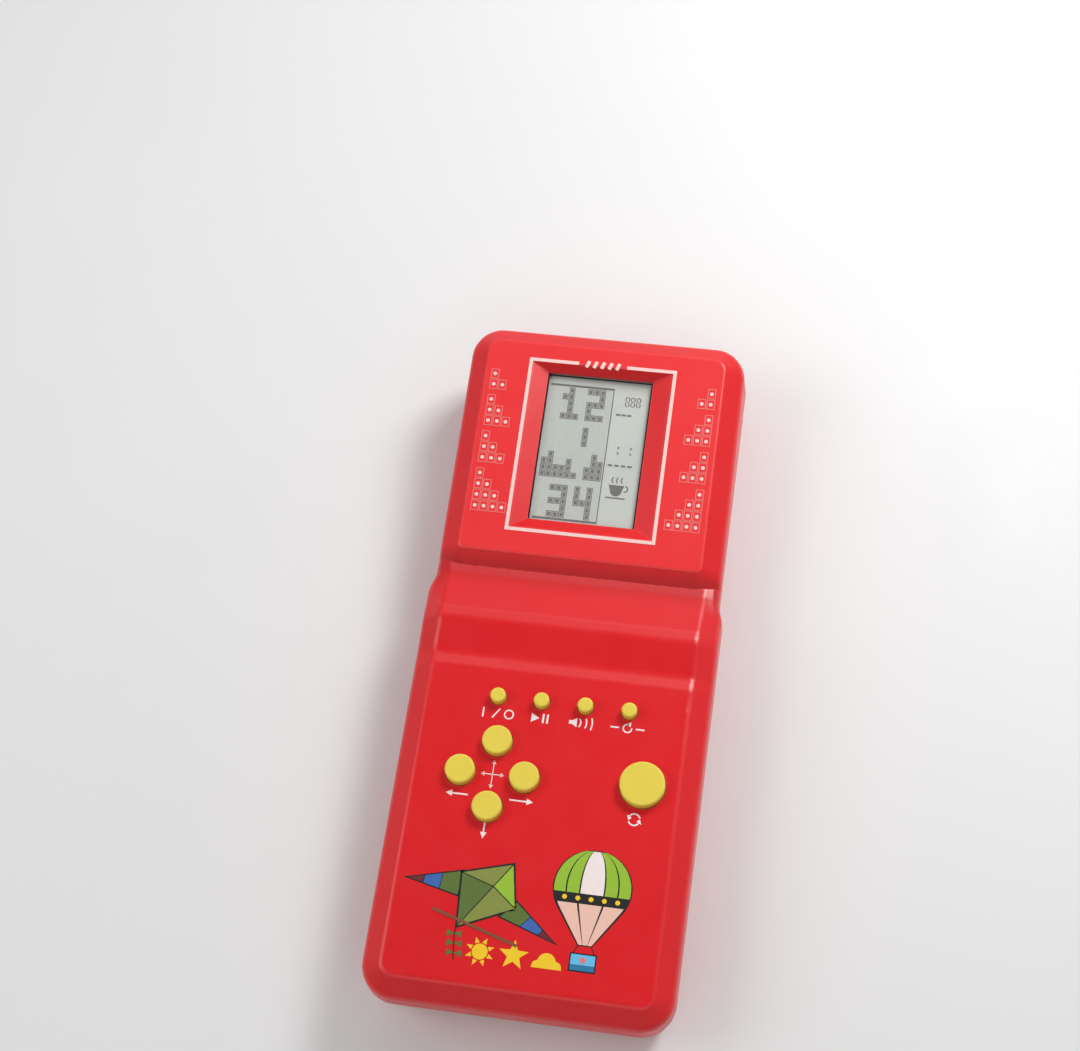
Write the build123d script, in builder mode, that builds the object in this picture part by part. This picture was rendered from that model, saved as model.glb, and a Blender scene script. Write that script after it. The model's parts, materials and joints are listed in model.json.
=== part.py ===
from build123d import *
import math
import os

os.makedirs("parts", exist_ok=True)

# A hand-held game with a liquid crystal screen, nine rubber keys and two AA cells.
# X is the width, Y runs towards the screen end, Z is up out of the keys; the back rests on Z = 0.

# ---------------------------------------------------------------- driving dimensions
body_length = 188.0
lower_width = 80.0
upper_width = 77.4
shoulder_y = 24.0
corner_radius = 9.0
shoulder_fillet = 8.0
parting_z = 14.0
wall = 1.9
draft_front = 3.0
draft_rear = 11.0
rear_edge_radius = 5.0
past = 1.0  # how far a cut runs beyond the face it opens
sink = 0.2  # how far an added wall reaches into the floor it stands on

# Raised top surfaces, and the sloping band that runs down from them to the side walls
band_slope = 52.0
keypad_z = 24.5
band_width = 5.6
panel_low_y = 27.5
panel_low_z = 24.0
panel_tilt = 4.6
panel_inset = 5.9
panel_near_corner = 1.2
panel_edge_radius = 1.0
deck_edge_radius = 2.5
rim_radius = 3.0

# Side profile of the neck: deck, lip, groove, near and far edge of the ridge, valley, and under the panel
valley_z = 20.8
neck_profile = [
    (-12.0, keypad_z),
    (-6.0, keypad_z),
    (-2.4, 23.8),
    (6.9, 25.3),
    (10.0, 24.8),
    (21.5, valley_z),
    (36.0, 18.1),
]
neck_radii = (4.0, 6.0, 5.0, 5.0, 6.0)
rim_relief = 0.25

# Screen, measured down from the sloping panel
screen_x = -1.1
screen_y = 59.5
bezel_x = -0.6
bezel_y = 58.7
bezel_size = (39.3, 48.6)
window_size = (29.2, 43.0)
bezel_depth = 2.6
window_wall = 0.8
lens_size = (33.0, 46.6)
lens_thickness = 0.6
glass_width = 33.4
front_glass_length = 49.0
rear_glass_length = 45.4
glass_thickness = 0.7
polariser_thickness = 0.2
reflector_thickness = 0.25
film_margin = 0.8
pocket_gap = 0.2
holder_wall = 1.6
holder_shelf = 1.5
holder_corner = 1.0
frame_wall = 1.4
lens_gap = 0.1
zebra_width = 2.2
zebra_length = 30.0

# Keypad
travel = 1.0
hole_clearance = 0.2
key_rise = 2.4
function_keys = {"power": -15.3, "start": -3.8, "sound": 7.7, "reset": 19.2}
function_y = -13.7
function_radius = 2.05
pad_x = -13.7
pad_y = -34.5
pad_arm_x = 8.4
pad_arm_y = 8.8
pad_radius = 3.9
rotate_x = 25.0
rotate_y = -32.8
rotate_radius = 5.9

# Circuit board and the stack on it
board_bottom = 17.3
board_thickness = 1.2
board_half_width = 34.0
board_low_y = -56.5
board_high_y = 79.5
board_tab_y = 87.0
sheet_thickness = 0.9
dome_height = 1.1
web_thickness = 0.45
flange_thickness = 1.2
key_edge_radius = 0.6
key_collar = 0.8
web_spread = 0.9
core_gap = 0.1
sheet_margin = 0.9
sheet_corner = 1.5
sheet_edge_gap = 0.3
pill_thickness = 0.5
pill_margin = 0.6
pill_gap = 0.05

# Parts soldered to the underside of the board
board_tab = (48.0, 10.0)
blob_y = 44.0
blob_radius = 8.5
blob_height = 1.7
capacitor_place = (20.0, 22.0)
capacitor_radius = 2.5
capacitor_height = 7.0
capacitor_edge = 0.5
chip_places = [(17.0, 10.0), (23.0, 10.0), (-22.0, 36.0)]
chip_size = (3.2, 1.6)
chip_height = 1.4
resistor_y = 12.0
resistor_body_x = -23.0
resistor_body_length = 6.0
resistor_radius = 1.1
resistor_edge = 0.4
resistor_hang = 1.6
resistor_lead_x = (-25.5, -14.5)
resistor_lead_radius = 0.3
resistor_lead_bend = 0.8
transistor_x = -20.0
transistor_y = 26.0
transistor_radius = 2.3
transistor_flat = 1.4
transistor_height = 4.5
transistor_legs = 3
transistor_leg = (0.5, 0.4)
transistor_leg_length = 2.5
transistor_leg_pitch = 1.27

# Battery bay for two AA cells, and its sliding door
cell_radius = 7.1
cell_length = 50.5
nub_length = 1.0
nub_radius = 2.7
cell_pitch = 15.5
bay_half_width = 16.0
bay_low_y = -80.0
bay_high_y = -22.0
bay_wall = 1.2
bay_top = 16.3
roof = 0.9
door_half_width = 17.2
door_thickness = 1.7
door_end_y = -19.5
rail_top = 3.4
rail_wall = 1.7
rail_end = 1.5
cell_gap = 0.2
cell_edge = 0.5
tongue_width = 0.9
tongue_low_z = 0.85
tongue_thickness = 0.6
slide_gap = 0.15
grip_y = -79.0
grip_pitch = 1.8
grip_count = 6
grip_size = (14.0, 0.9)
arrow_y = -69.0
arrow_width = 8.0
arrow_side = 6.0
mark_depth = 0.4
plate = 0.35
plate_height = 10.0
plate_width = 10.0
plate_corner = 1.0
face_gap = 0.05
tab_z = 12.0
tab_width = 2.4
tab_thickness = 0.4
tab_end_y = -18.8
slit_gap = 0.2
spring_wire = 0.4
spring_radius = 3.6
spring_turns = 4
lip_height = 1.5
lip_gap = 0.15
lip_thickness = 0.9
seam_height = 0.25
seam_depth = 0.35

# Fasteners
case_screw_points = [(-30.0, -83.0), (30.0, -83.0), (-28.5, 83.0), (28.5, 83.0)]
case_post_radius = 3.0
case_boss_radius = 3.6
case_shank_radius = 1.2
case_head_radius = 2.4
case_head_z = 7.4
case_head_height = 1.6
case_pilot_depth = 6.0
case_cross = (2.6, 0.6)
case_cross_depth = 0.8
board_screw_points = [(x, y) for y in (-53.3, 3.0, 74.0) for x in (-31.0, 31.0)]
board_post_radius = 2.0
board_shank_radius = 0.75
board_head_radius = 1.7
board_head_height = 1.1
board_pilot_depth = 2.6
board_cross = (1.9, 0.4)
board_cross_depth = 0.5
thread_gap = 0.05
shank_gap = 0.2
head_gap = 0.3
pilot_end_gap = 0.3

# Speaker
piezo_y = 58.0
piezo_radius = 13.5
piezo_thickness = 0.25
ceramic_radius = 10.0
ceramic_thickness = 0.2
piezo_seat_z = 3.0
piezo_gap = 0.1
ring_wall = 1.3
ring_ledge = 1.2
ring_height = 2.8
grille_pitch = 3.2
grille_width = 1.5
grille_lengths = [10.0, 15.0, 17.5, 17.5, 15.0, 10.0]

# Wires
wire_radius = 0.6
wire_run = 4.6
wire_bend = 3.0
lead_radius = 0.5
lead_bends = [2.6, 3.0]

# ---------------------------------------------------------------- derived values
tall = 20.0
half_length = body_length / 2
board_top = board_bottom + board_thickness
sheet_top = board_top + sheet_thickness
flange_bottom = sheet_top + dome_height
pill_bottom = board_top + travel + pill_gap
core_bottom = pill_bottom + pill_thickness
key_top = keypad_z + key_rise
cell_z = door_thickness + cell_gap + cell_radius
slope = math.radians(band_slope)
keypad_half_width = lower_width / 2 - band_width
keypad_low_y = band_width - half_length
plateau_corner = corner_radius - band_width
panel_width = upper_width - 2 * panel_inset
panel_corner = corner_radius - panel_inset
panel_high_y = half_length - panel_inset
lens_depth = bezel_depth + window_wall
glass_depth = lens_depth + lens_thickness + lens_gap + polariser_thickness
rear_glass_depth = glass_depth + glass_thickness
reflector_depth = rear_glass_depth + glass_thickness
holder_shelf_depth = reflector_depth + reflector_thickness


def panel_plane(depth, y):
    """Plane parallel to the sloping screen panel, the depth below it, centred at the world y."""
    tilt = math.radians(panel_tilt)
    z = panel_low_z + (y - panel_low_y) * math.tan(tilt)
    surface = Plane(origin=(0, y, z), x_dir=(1, 0, 0), z_dir=(0, -math.sin(tilt), math.cos(tilt)))
    return surface.offset(-depth)


def planform(inset):
    """Outline of the case seen from above: a wide hand grip that narrows at the shoulders."""
    grip_length = half_length + shoulder_y
    with BuildSketch(mode=Mode.PRIVATE) as outline:
        with Locations((0, shoulder_y - grip_length / 2)):
            RectangleRounded(lower_width, grip_length, corner_radius)
        with Locations((0, half_length / 2)):
            RectangleRounded(upper_width, half_length, corner_radius)
        inner_corners = [
            v for v in outline.vertices() if 0 < v.Y < shoulder_y and abs(abs(v.X) - upper_width / 2) < 0.01
        ]
        fillet(inner_corners, radius=shoulder_fillet)
        if inset:
            offset(amount=-inset)
    return outline.sketch


def neck_section(x, drop, relief):
    """Side profile of the neck in the plane at x, lowered by the drop, its relief scaled, closed below."""
    points = [(y, keypad_z + (z - keypad_z) * relief - drop) for y, z in neck_profile]
    with BuildSketch(Plane.YZ.offset(x)) as section:
        with BuildLine():
            top = FilletPolyline(*points, radius=neck_radii)
            Polyline(top @ 1, (points[-1][0], 0), (points[0][0], 0), top @ 0)
        make_face()
    return section.sketch.face()


def crown(inset):
    """Everything below the sculpted top: the sloping panel, the ridged neck and the keypad deck."""
    face_shift = inset * (1 / math.cos(slope) - math.tan(slope))
    foot = 18.0
    fall = foot * math.tan(slope)
    # Keypad deck, with sloping bands round its low end and along its sides
    half_width = keypad_half_width - face_shift
    low_y = keypad_low_y + face_shift
    high_y = 60.0
    join_y = neck_profile[0][0]
    with BuildPart() as deck:
        with BuildSketch(Plane.XY.offset(keypad_z - inset - foot)):
            with Locations((0, (low_y + high_y) / 2)):
                RectangleRounded(
                    2 * (half_width + fall), high_y - low_y + 2 * fall, plateau_corner - face_shift + fall
                )
        extrude(amount=foot, taper=band_slope)
        split(bisect_by=Plane(origin=(0, join_y, 0), z_dir=(0, -1, 0)))
    # Ridged neck, whose side bands flatten out towards the case's edge
    reach = lower_width / 2 + 2 - half_width
    with BuildPart() as neck:
        extrude(neck_section(-half_width, inset, 1.0), amount=2 * half_width)
        for side in (-1, 1):
            inner = neck_section(side * half_width, inset, 1.0)
            outer = neck_section(side * (half_width + reach), inset + reach / math.tan(slope), rim_relief)
            loft(sections=[inner, outer], ruled=True)
    with BuildPart() as grip_top:
        add(deck.part)
        add(neck.part)
        if not inset:
            high_edges = [e for e in grip_top.edges() if e.center().Z > valley_z - 0.5]
            side_edges = [e for e in high_edges if abs(abs(e.center().X) - half_width) < 0.05]
            top_edges = [e for e in high_edges if e.center().Z > keypad_z - 0.1]
            end_edges = [e for e in top_edges if e.center().Y < low_y + plateau_corner]
            fillet(set(side_edges + end_edges), radius=deck_edge_radius)
    # Screen end: a raised panel that slopes up towards its far end
    middle_y = (panel_low_y + panel_high_y) / 2
    panel_length = (panel_high_y - panel_low_y) / math.cos(math.radians(panel_tilt))
    with BuildPart() as screen_end:
        with BuildSketch(panel_plane(foot + inset, middle_y)) as base:
            Rectangle(panel_width - 2 * face_shift + 2 * fall, panel_length - 2 * face_shift + 2 * fall)
            far_corners = base.vertices().group_by(Axis.Y)[-1]
            fillet(far_corners, radius=panel_corner - face_shift + fall)
            near_corners = base.vertices().group_by(Axis.Y)[0]
            fillet(near_corners, radius=panel_near_corner - face_shift + fall)
        extrude(amount=foot, taper=band_slope)
        if not inset:
            top_face = screen_end.faces().sort_by(Axis.Z)[-1]
            fillet(top_face.edges(), radius=panel_edge_radius)
    return grip_top.part + screen_end.part


def follows_outline(edge, outline):
    """True for an edge of the rim, which runs close to the case's outline seen from above."""
    lowest_rim, tallest_edge, nearness = parting_z + 4, 6, 0.9
    if edge.center().Z < lowest_rim or edge.bounding_box().size.Z > tallest_edge:
        return False
    points = [edge.position_at(t) for t in (0.02, 0.5, 0.98)]
    return all(outline.distance_to(Vertex(p.X, p.Y, 0)) < nearness for p in points)


def front_hull(inset):
    """Solid bounded by the front shell's skin, pulled in by the inset."""
    with BuildPart() as hull:
        with BuildSketch(Plane.XY.offset(parting_z)):
            add(planform(inset))
        extrude(amount=tall, taper=draft_front)
        add(crown(inset), mode=Mode.INTERSECT)
        if not inset:
            outline = planform(0).face().outer_wire()
            rim = [e for e in hull.edges() if follows_outline(e, outline)]
            fillet(rim, radius=rim_radius)
    return hull.part


def rear_hull(inset):
    """Solid bounded by the rear shell's skin, pulled in by the inset; it narrows towards the back."""
    with BuildPart() as hull:
        with BuildSketch(Plane.XY.offset(parting_z)):
            add(planform(inset))
        extrude(amount=parting_z - inset, taper=draft_rear)
        back_edges = hull.faces().sort_by(Axis.Z)[-1].edges()
        fillet(back_edges, radius=rear_edge_radius - inset)
    return mirror(hull.part, about=Plane.XY.offset(parting_z))


def save(piece, name):
    """Label a finished piece and write it under its own name."""
    piece.label = name
    export_step(piece, "parts/" + name + ".step")


# Every key: its name, place and cap radius
keys = [("key_" + name, x, function_y, function_radius) for name, x in function_keys.items()]
keys += [
    ("key_up", pad_x, pad_y + pad_arm_y, pad_radius),
    ("key_down", pad_x, pad_y - pad_arm_y, pad_radius),
    ("key_left", pad_x - pad_arm_x, pad_y, pad_radius),
    ("key_right", pad_x + pad_arm_x, pad_y, pad_radius),
    ("key_rotate", rotate_x, rotate_y, rotate_radius),
]


def flange_radius(cap_radius):
    """Collar that keeps the key inside the case."""
    return cap_radius + hole_clearance + key_collar


def dome_radius(cap_radius):
    """Foot of the thin web that carries the key."""
    return flange_radius(cap_radius) + web_spread


# ---------------------------------------------------------------- shells
front_outer = front_hull(0)
frame_size = (bezel_size[0] + 2 * frame_wall, bezel_size[1] + 2 * frame_wall)

with BuildPart() as front_shell:
    add(front_outer)
    add(front_hull(wall), mode=Mode.SUBTRACT)
    # Posts for the case screws and for the circuit board, and the thick frame round the screen
    with BuildSketch(Plane.XY.offset(parting_z)):
        with Locations(*case_screw_points):
            Circle(case_post_radius)
    extrude(amount=tall)
    with BuildSketch(Plane.XY.offset(board_top)):
        with Locations(*board_screw_points):
            Circle(board_post_radius)
    extrude(amount=tall)
    with BuildSketch(panel_plane(lens_depth, bezel_y)):
        with Locations((bezel_x, 0)):
            Rectangle(*frame_size)
    extrude(amount=lens_depth)
    add(front_outer, mode=Mode.INTERSECT)
    # Sloping bezel and the window in its floor
    with BuildSketch(panel_plane(0, bezel_y)):
        with Locations((bezel_x, 0)):
            Rectangle(*bezel_size)
    with BuildSketch(panel_plane(bezel_depth, screen_y)):
        with Locations((screen_x, 0)):
            Rectangle(*window_size)
    loft(mode=Mode.SUBTRACT)
    with BuildSketch(panel_plane(bezel_depth, screen_y)):
        with Locations((screen_x, 0)):
            Rectangle(*window_size)
    extrude(amount=-window_wall - past, mode=Mode.SUBTRACT)
    # Key holes
    for _, x, y, cap in keys:
        with BuildSketch(Plane.XY.offset(board_top)):
            with Locations((x, y)):
                Circle(cap + hole_clearance)
        extrude(amount=tall, mode=Mode.SUBTRACT)
    # Pilot holes in the posts
    with BuildSketch(Plane.XY.offset(parting_z)):
        with Locations(*case_screw_points):
            Circle(case_shank_radius + thread_gap)
    extrude(amount=case_pilot_depth, mode=Mode.SUBTRACT)
    with BuildSketch(Plane.XY.offset(board_top)):
        with Locations(*board_screw_points):
            Circle(board_shank_radius + thread_gap)
    extrude(amount=board_pilot_depth, mode=Mode.SUBTRACT)
save(front_shell.part, "front_shell")

rear_outer = rear_hull(0)
bay_length = bay_high_y - bay_low_y
bay_middle_y = (bay_high_y + bay_low_y) / 2
door_length = door_end_y + half_length
door_middle_y = (door_end_y - half_length) / 2
rail_half_width = door_half_width + tongue_width + rail_wall
rail_length = door_length + rail_end

with BuildPart() as rear_shell:
    add(rear_outer)
    add(rear_hull(wall), mode=Mode.SUBTRACT)
    # Rails beside the door, screw bosses and the speaker's ring
    with BuildSketch(Plane.XY):
        with Locations((0, -half_length + rail_length / 2)):
            Rectangle(2 * rail_half_width, rail_length)
    extrude(amount=rail_top)
    with BuildSketch(Plane.XY):
        with Locations(*case_screw_points):
            Circle(case_boss_radius)
    extrude(amount=parting_z)
    with BuildSketch(Plane.XY.offset(wall - sink)):
        with Locations((0, piezo_y)):
            Circle(piezo_radius + ring_wall)
            Circle(piezo_radius - ring_ledge, mode=Mode.SUBTRACT)
    extrude(amount=ring_height)
    add(rear_outer, mode=Mode.INTERSECT)
    # Walls and roof of the battery bay, which stand taller than the shell's own side
    with BuildSketch(Plane.XY.offset(wall)):
        with Locations((0, bay_middle_y)):
            Rectangle(2 * (bay_half_width + bay_wall), bay_length + 2 * bay_wall)
    extrude(amount=bay_top + roof - wall)
    # Locating lip that enters the front shell
    with BuildSketch(Plane.XY.offset(parting_z - lip_height)):
        add(planform(wall + lip_gap))
        add(planform(wall + lip_gap + lip_thickness), mode=Mode.SUBTRACT)
    extrude(amount=2 * lip_height)
    # Inside of the bay
    with BuildSketch(Plane.XY.offset(-past)):
        with Locations((0, bay_middle_y)):
            Rectangle(2 * bay_half_width, bay_length)
    extrude(amount=bay_top + past, mode=Mode.SUBTRACT)
    # Slot that the door slides in, open at the end of the case, with a groove along each side
    with BuildSketch(Plane.XY.offset(-past)):
        with Locations((0, door_middle_y)):
            Rectangle(2 * (door_half_width + slide_gap), door_length + 2 * slide_gap)
    extrude(amount=past + door_thickness + slide_gap, mode=Mode.SUBTRACT)
    with BuildSketch(Plane.XY.offset(tongue_low_z - slide_gap)):
        with Locations((0, door_middle_y)):
            Rectangle(2 * (door_half_width + tongue_width + slide_gap), door_length + 2 * slide_gap)
    extrude(amount=tongue_thickness + 2 * slide_gap, mode=Mode.SUBTRACT)
    # Slits in the bay's inner end wall for the two solder tabs
    with BuildSketch(Plane.XZ.offset(past - bay_high_y)):
        with Locations((-cell_pitch / 2, tab_z), (cell_pitch / 2, tab_z)):
            Rectangle(tab_width + 2 * slit_gap, tab_thickness + 2 * slit_gap)
    extrude(amount=-bay_wall - 2 * past, mode=Mode.SUBTRACT)
    # Shadow groove along the joint between the shells
    with BuildSketch(Plane.XY.offset(parting_z - seam_height)):
        add(planform(-past))
        add(planform(seam_depth), mode=Mode.SUBTRACT)
    extrude(amount=seam_height, mode=Mode.SUBTRACT)
    # Seat for the speaker disc, and the slots that let the sound out
    with BuildSketch(Plane.XY.offset(piezo_seat_z)):
        with Locations((0, piezo_y)):
            Circle(piezo_radius + piezo_gap)
    extrude(amount=ring_height, mode=Mode.SUBTRACT)
    with BuildSketch(Plane.XY.offset(-past)):
        for i, length in enumerate(grille_lengths):
            with Locations((0, piezo_y + (i - (len(grille_lengths) - 1) / 2) * grille_pitch)):
                SlotOverall(length, grille_width)
    extrude(amount=piezo_seat_z + past, mode=Mode.SUBTRACT)
    # Counterbored screw holes
    with BuildSketch(Plane.XY.offset(-past)):
        with Locations(*case_screw_points):
            Circle(case_head_radius + head_gap)
    extrude(amount=past + case_head_z + case_head_height, mode=Mode.SUBTRACT)
    with BuildSketch(Plane.XY):
        with Locations(*case_screw_points):
            Circle(case_shank_radius + shank_gap)
    extrude(amount=parting_z + past, mode=Mode.SUBTRACT)
save(rear_shell.part, "rear_shell")

with BuildPart() as battery_door:
    with BuildSketch(Plane.XY):
        with Locations((0, door_middle_y)):
            Rectangle(2 * door_half_width, door_length)
    extrude(amount=door_thickness)
    with BuildSketch(Plane.XY.offset(tongue_low_z)):
        with Locations((0, door_middle_y)):
            Rectangle(2 * (door_half_width + tongue_width), door_length)
    extrude(amount=tongue_thickness)
    add(rear_outer, mode=Mode.INTERSECT)
    # Thumb grooves and the arrow that shows which way it slides
    with BuildSketch(Plane.XY):
        with Locations((0, grip_y)):
            with GridLocations(0, grip_pitch, 1, grip_count):
                SlotOverall(*grip_size)
        with Locations((0, arrow_y)):
            Triangle(a=arrow_width, b=arrow_side, c=arrow_side, rotation=180)
    extrude(amount=mark_depth, mode=Mode.SUBTRACT)
save(battery_door.part, "battery_door")

# ---------------------------------------------------------------- screen
ledge_shift = (front_glass_length - rear_glass_length) / 2


def screen_layer(name, depth, thickness, width, length, shift=0.0):
    """One flat layer of the display, its top face the depth below the sloping panel."""
    with BuildPart() as layer:
        with BuildSketch(panel_plane(depth + thickness, screen_y)):
            with Locations((screen_x, shift)):
                Rectangle(width, length)
        extrude(amount=thickness)
    save(layer.part, name)


film_width = glass_width - 2 * film_margin
film_length = rear_glass_length - 2 * film_margin
screen_layer("window_lens", lens_depth, lens_thickness, *lens_size)
screen_layer(
    "lcd_front_polariser", glass_depth - polariser_thickness, polariser_thickness, film_width, film_length
)
screen_layer("lcd_front_glass", glass_depth, glass_thickness, glass_width, front_glass_length, ledge_shift)
screen_layer("lcd_rear_glass", rear_glass_depth, glass_thickness, glass_width, rear_glass_length)
screen_layer("lcd_reflector", reflector_depth, reflector_thickness, film_width, film_length)

holder_width = glass_width + 2 * (pocket_gap + holder_wall)
holder_length = front_glass_length + 2 * (pocket_gap + holder_wall)
ledge_middle = rear_glass_length / 2 + ledge_shift
connector_y = screen_y + ledge_middle * math.cos(math.radians(panel_tilt))

with BuildPart() as zebra_connector:
    with BuildSketch(Plane.XY.offset(board_top)):
        with Locations((screen_x, connector_y)):
            Rectangle(zebra_length, zebra_width)
    extrude(amount=tall)
    split(bisect_by=panel_plane(rear_glass_depth, screen_y), keep=Keep.BOTTOM)
save(zebra_connector.part, "zebra_connector")

with BuildPart() as lcd_holder:
    with BuildSketch(Plane.XY.offset(board_top)):
        with Locations((screen_x, screen_y + ledge_shift)):
            RectangleRounded(holder_width, holder_length, holder_corner)
    extrude(amount=tall)
    split(bisect_by=panel_plane(glass_depth, screen_y), keep=Keep.BOTTOM)
    # Pocket that the glass drops into
    with BuildSketch(panel_plane(holder_shelf_depth, screen_y)):
        with Locations((screen_x, ledge_shift)):
            Rectangle(glass_width + 2 * pocket_gap, front_glass_length + 2 * pocket_gap)
    extrude(amount=tall, mode=Mode.SUBTRACT)
    # Open middle, and the slot for the rubber connector
    with BuildSketch(Plane.XY.offset(board_top)):
        with Locations((screen_x, screen_y)):
            Rectangle(glass_width - 2 * holder_shelf, rear_glass_length - 2 * holder_shelf)
        with Locations((screen_x, connector_y)):
            Rectangle(zebra_length + 2 * pocket_gap, zebra_width + 2 * pocket_gap)
    extrude(amount=tall, mode=Mode.SUBTRACT)
save(lcd_holder.part, "lcd_holder")

# ---------------------------------------------------------------- circuit board
with BuildPart() as main_pcb:
    with BuildSketch(Plane.XY.offset(board_bottom)):
        with Locations((0, (board_low_y + board_high_y) / 2)):
            Rectangle(2 * board_half_width, board_high_y - board_low_y)
        with Locations((0, board_tab_y - board_tab[1] / 2)):
            Rectangle(*board_tab)
    extrude(amount=board_thickness)
    with BuildSketch(Plane.XY.offset(board_bottom)):
        with Locations(*board_screw_points):
            Circle(board_shank_radius + shank_gap)
    extrude(amount=board_thickness, mode=Mode.SUBTRACT)
save(main_pcb.part, "main_pcb")

with BuildPart() as chip_blob:
    with BuildSketch(Plane.XZ.offset(-blob_y)):
        with BuildLine():
            dome = ThreePointArc(
                (0, board_bottom - blob_height),
                (0.7 * blob_radius, board_bottom - 0.65 * blob_height),
                (blob_radius, board_bottom),
            )
            Polyline(dome @ 1, (0, board_bottom), dome @ 0)
        make_face()
    revolve(axis=Axis((0, blob_y, 0), (0, 0, 1)))
save(chip_blob.part, "chip_blob")

with BuildPart() as electrolytic_capacitor:
    with BuildSketch(Plane.XY.offset(board_bottom - capacitor_height)):
        with Locations(capacitor_place):
            Circle(capacitor_radius)
    extrude(amount=capacitor_height)
    fillet(electrolytic_capacitor.edges().group_by(Axis.Z)[0], radius=capacitor_edge)
save(electrolytic_capacitor.part, "electrolytic_capacitor")

with BuildPart() as ceramic_capacitors:
    with BuildSketch(Plane.XY.offset(board_bottom - chip_height)):
        with Locations(*chip_places):
            Rectangle(*chip_size)
    extrude(amount=chip_height)
save(ceramic_capacitors.part, "ceramic_capacitors")

with BuildPart() as oscillator_resistor:
    resistor_z = board_bottom - resistor_hang
    with BuildSketch(Plane.YZ.offset(resistor_body_x)):
        with Locations((resistor_y, resistor_z)):
            Circle(resistor_radius)
    extrude(amount=resistor_body_length)
    fillet(oscillator_resistor.edges(), radius=resistor_edge)
    lead_start = (resistor_lead_x[0], resistor_y, board_bottom)
    with BuildLine():
        FilletPolyline(
            lead_start,
            (resistor_lead_x[0], resistor_y, resistor_z),
            (resistor_lead_x[1], resistor_y, resistor_z),
            (resistor_lead_x[1], resistor_y, board_bottom),
            radius=resistor_lead_bend,
        )
    with BuildSketch(Plane(origin=lead_start, z_dir=(0, 0, -1))):
        Circle(resistor_lead_radius)
    sweep()
save(oscillator_resistor.part, "oscillator_resistor")

with BuildPart() as speaker_transistor:
    transistor_depth = transistor_leg_length + transistor_height
    flat_y = transistor_y + transistor_flat + transistor_radius / 2
    with BuildSketch(Plane.XY.offset(board_bottom - transistor_depth)):
        with Locations((transistor_x, transistor_y)):
            Circle(transistor_radius)
        with Locations((transistor_x, flat_y)):
            Rectangle(2 * transistor_radius, transistor_radius, mode=Mode.SUBTRACT)
    extrude(amount=transistor_height)
    with BuildSketch(Plane.XY.offset(board_bottom - transistor_leg_length)):
        with Locations((transistor_x, transistor_y)):
            with GridLocations(transistor_leg_pitch, 0, transistor_legs, 1):
                Rectangle(*transistor_leg)
    extrude(amount=transistor_leg_length)
save(speaker_transistor.part, "speaker_transistor")

# ---------------------------------------------------------------- speaker
with BuildPart() as piezo_disc:
    with BuildSketch(Plane.XY.offset(piezo_seat_z)):
        with Locations((0, piezo_y)):
            Circle(piezo_radius)
    extrude(amount=piezo_thickness)
save(piezo_disc.part, "piezo_disc")

ceramic_z = piezo_seat_z + piezo_thickness
with BuildPart() as piezo_ceramic:
    with BuildSketch(Plane.XY.offset(ceramic_z)):
        with Locations((0, piezo_y)):
            Circle(ceramic_radius)
    extrude(amount=ceramic_thickness)
save(piezo_ceramic.part, "piezo_ceramic")


def wire(points, radii, radius):
    """Insulated wire along straight runs joined by arcs; prints its length against its volume."""
    with BuildPart() as strand:
        with BuildLine() as route:
            FilletPolyline(*points, radius=radii)
        with BuildSketch(Plane(origin=points[0], z_dir=route.line % 0)):
            Circle(radius)
        sweep()
    section = math.pi * radius**2
    print("wire length", sum(e.length for e in route.edges()), "by volume", strand.part.volume / section)
    return strand.part


speaker_lead_points = [
    [(5, 60, ceramic_z + ceramic_thickness), (5, 60, 8), (11, 48, 10), (11, 48, board_bottom)],
    [(-12, 60, ceramic_z), (-12, 60, 8), (-15, 48, 10), (-15, 48, board_bottom)],
]
speaker_leads = [wire(points, lead_bends, lead_radius) for points in speaker_lead_points]
save(Compound(children=speaker_leads), "piezo_wires")

# ---------------------------------------------------------------- batteries and contacts
contact_y = bay_high_y - face_gap - plate
bridge_y = bay_low_y + face_gap + plate
nub_end_1 = contact_y - face_gap
nub_end_2 = bridge_y + face_gap


def battery(name, x, nub_tip, toward):
    """AA cell lying along Y; its raised terminal ends at nub_tip and points toward +1 or -1."""
    can_end = nub_tip - toward * nub_length
    with BuildPart() as cell:
        with BuildSketch(Plane.XZ.offset(-can_end)):
            with Locations((x, cell_z)):
                Circle(cell_radius)
        extrude(amount=toward * (cell_length - nub_length))
        fillet(cell.edges().filter_by(GeomType.CIRCLE), radius=cell_edge)
        with BuildSketch(Plane.XZ.offset(-can_end)):
            with Locations((x, cell_z)):
                Circle(nub_radius)
        extrude(amount=-toward * nub_length)
    save(cell.part, name)


def contact_plate(x, y, width):
    """Thin nickelled plate standing against an end wall of the bay, and filling +Y from y."""
    with BuildPart() as sheet:
        with BuildSketch(Plane.XZ.offset(-y)):
            with Locations((x, cell_z)):
                RectangleRounded(width, plate_height, plate_corner)
        extrude(amount=-plate)
    return sheet.part


def solder_tab(x):
    """Strip from the plate out through the slit in the inner end wall."""
    with BuildPart() as strip:
        with BuildSketch(Plane.XZ.offset(-contact_y)):
            with Locations((x, tab_z)):
                Rectangle(tab_width, tab_thickness)
        extrude(amount=contact_y - tab_end_y)
    return strip.part


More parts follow.
